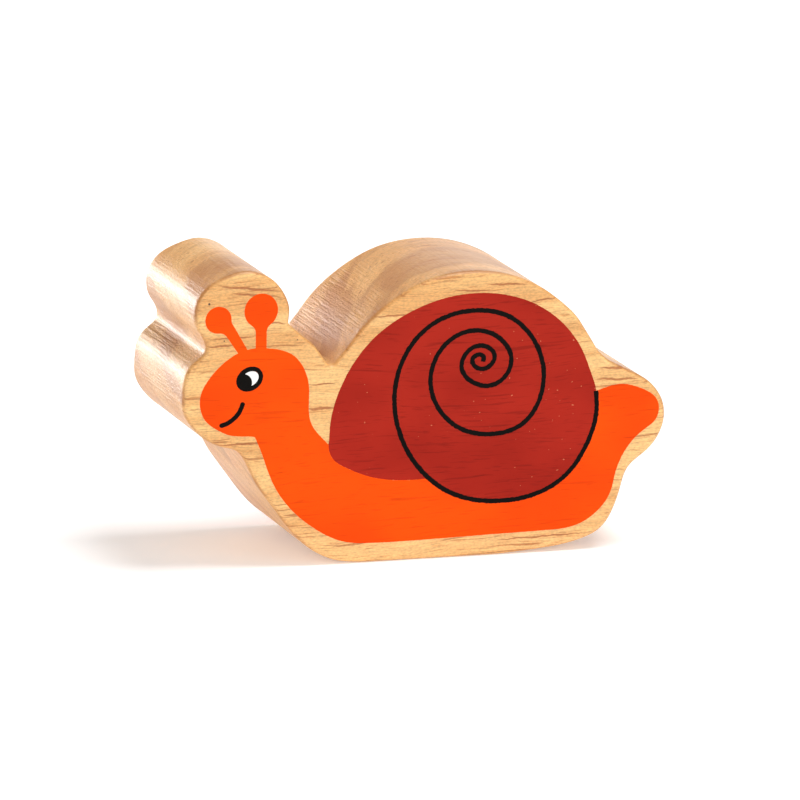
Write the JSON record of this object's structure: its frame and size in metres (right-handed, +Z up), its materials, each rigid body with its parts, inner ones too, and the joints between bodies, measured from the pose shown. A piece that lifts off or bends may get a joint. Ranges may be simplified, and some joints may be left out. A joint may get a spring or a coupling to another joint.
{
  "type": "wooden snail figure",
  "caption": "Chunky one-piece wooden snail that stands on its flat underside, with rounded edges and a printed orange body, dark red spiral shell, eye and mouth on both faces.",
  "frame": {"origin": "bottom centre of the object's box, on the surface it stands on", "axes": "+X from the head to the tail, -Y out of the front printed face, +Z up"},
  "size_m": [0.08, 0.0252, 0.0474],
  "materials": {
    "wood": "light rubberwood, sanded, clear satin lacquer",
    "orange_ink": "opaque screen-printed ink, satin",
    "red_ink": "opaque screen-printed ink, satin",
    "black_ink": "opaque screen-printed ink, satin",
    "white_ink": "opaque screen-printed ink, satin"
  },
  "bodies": {
    "root": {"wood_block": "wood", "body_paint_front": "orange_ink", "body_paint_back": "orange_ink", "shell_paint_front": "red_ink", "shell_paint_back": "red_ink", "spiral_line_front": "black_ink", "spiral_line_back": "black_ink", "eye_black_front": "black_ink", "eye_black_back": "black_ink", "eye_white_front": "white_ink", "eye_white_back": "white_ink", "mouth_line_front": "black_ink", "mouth_line_back": "black_ink"}
  },
  "joints": []
}
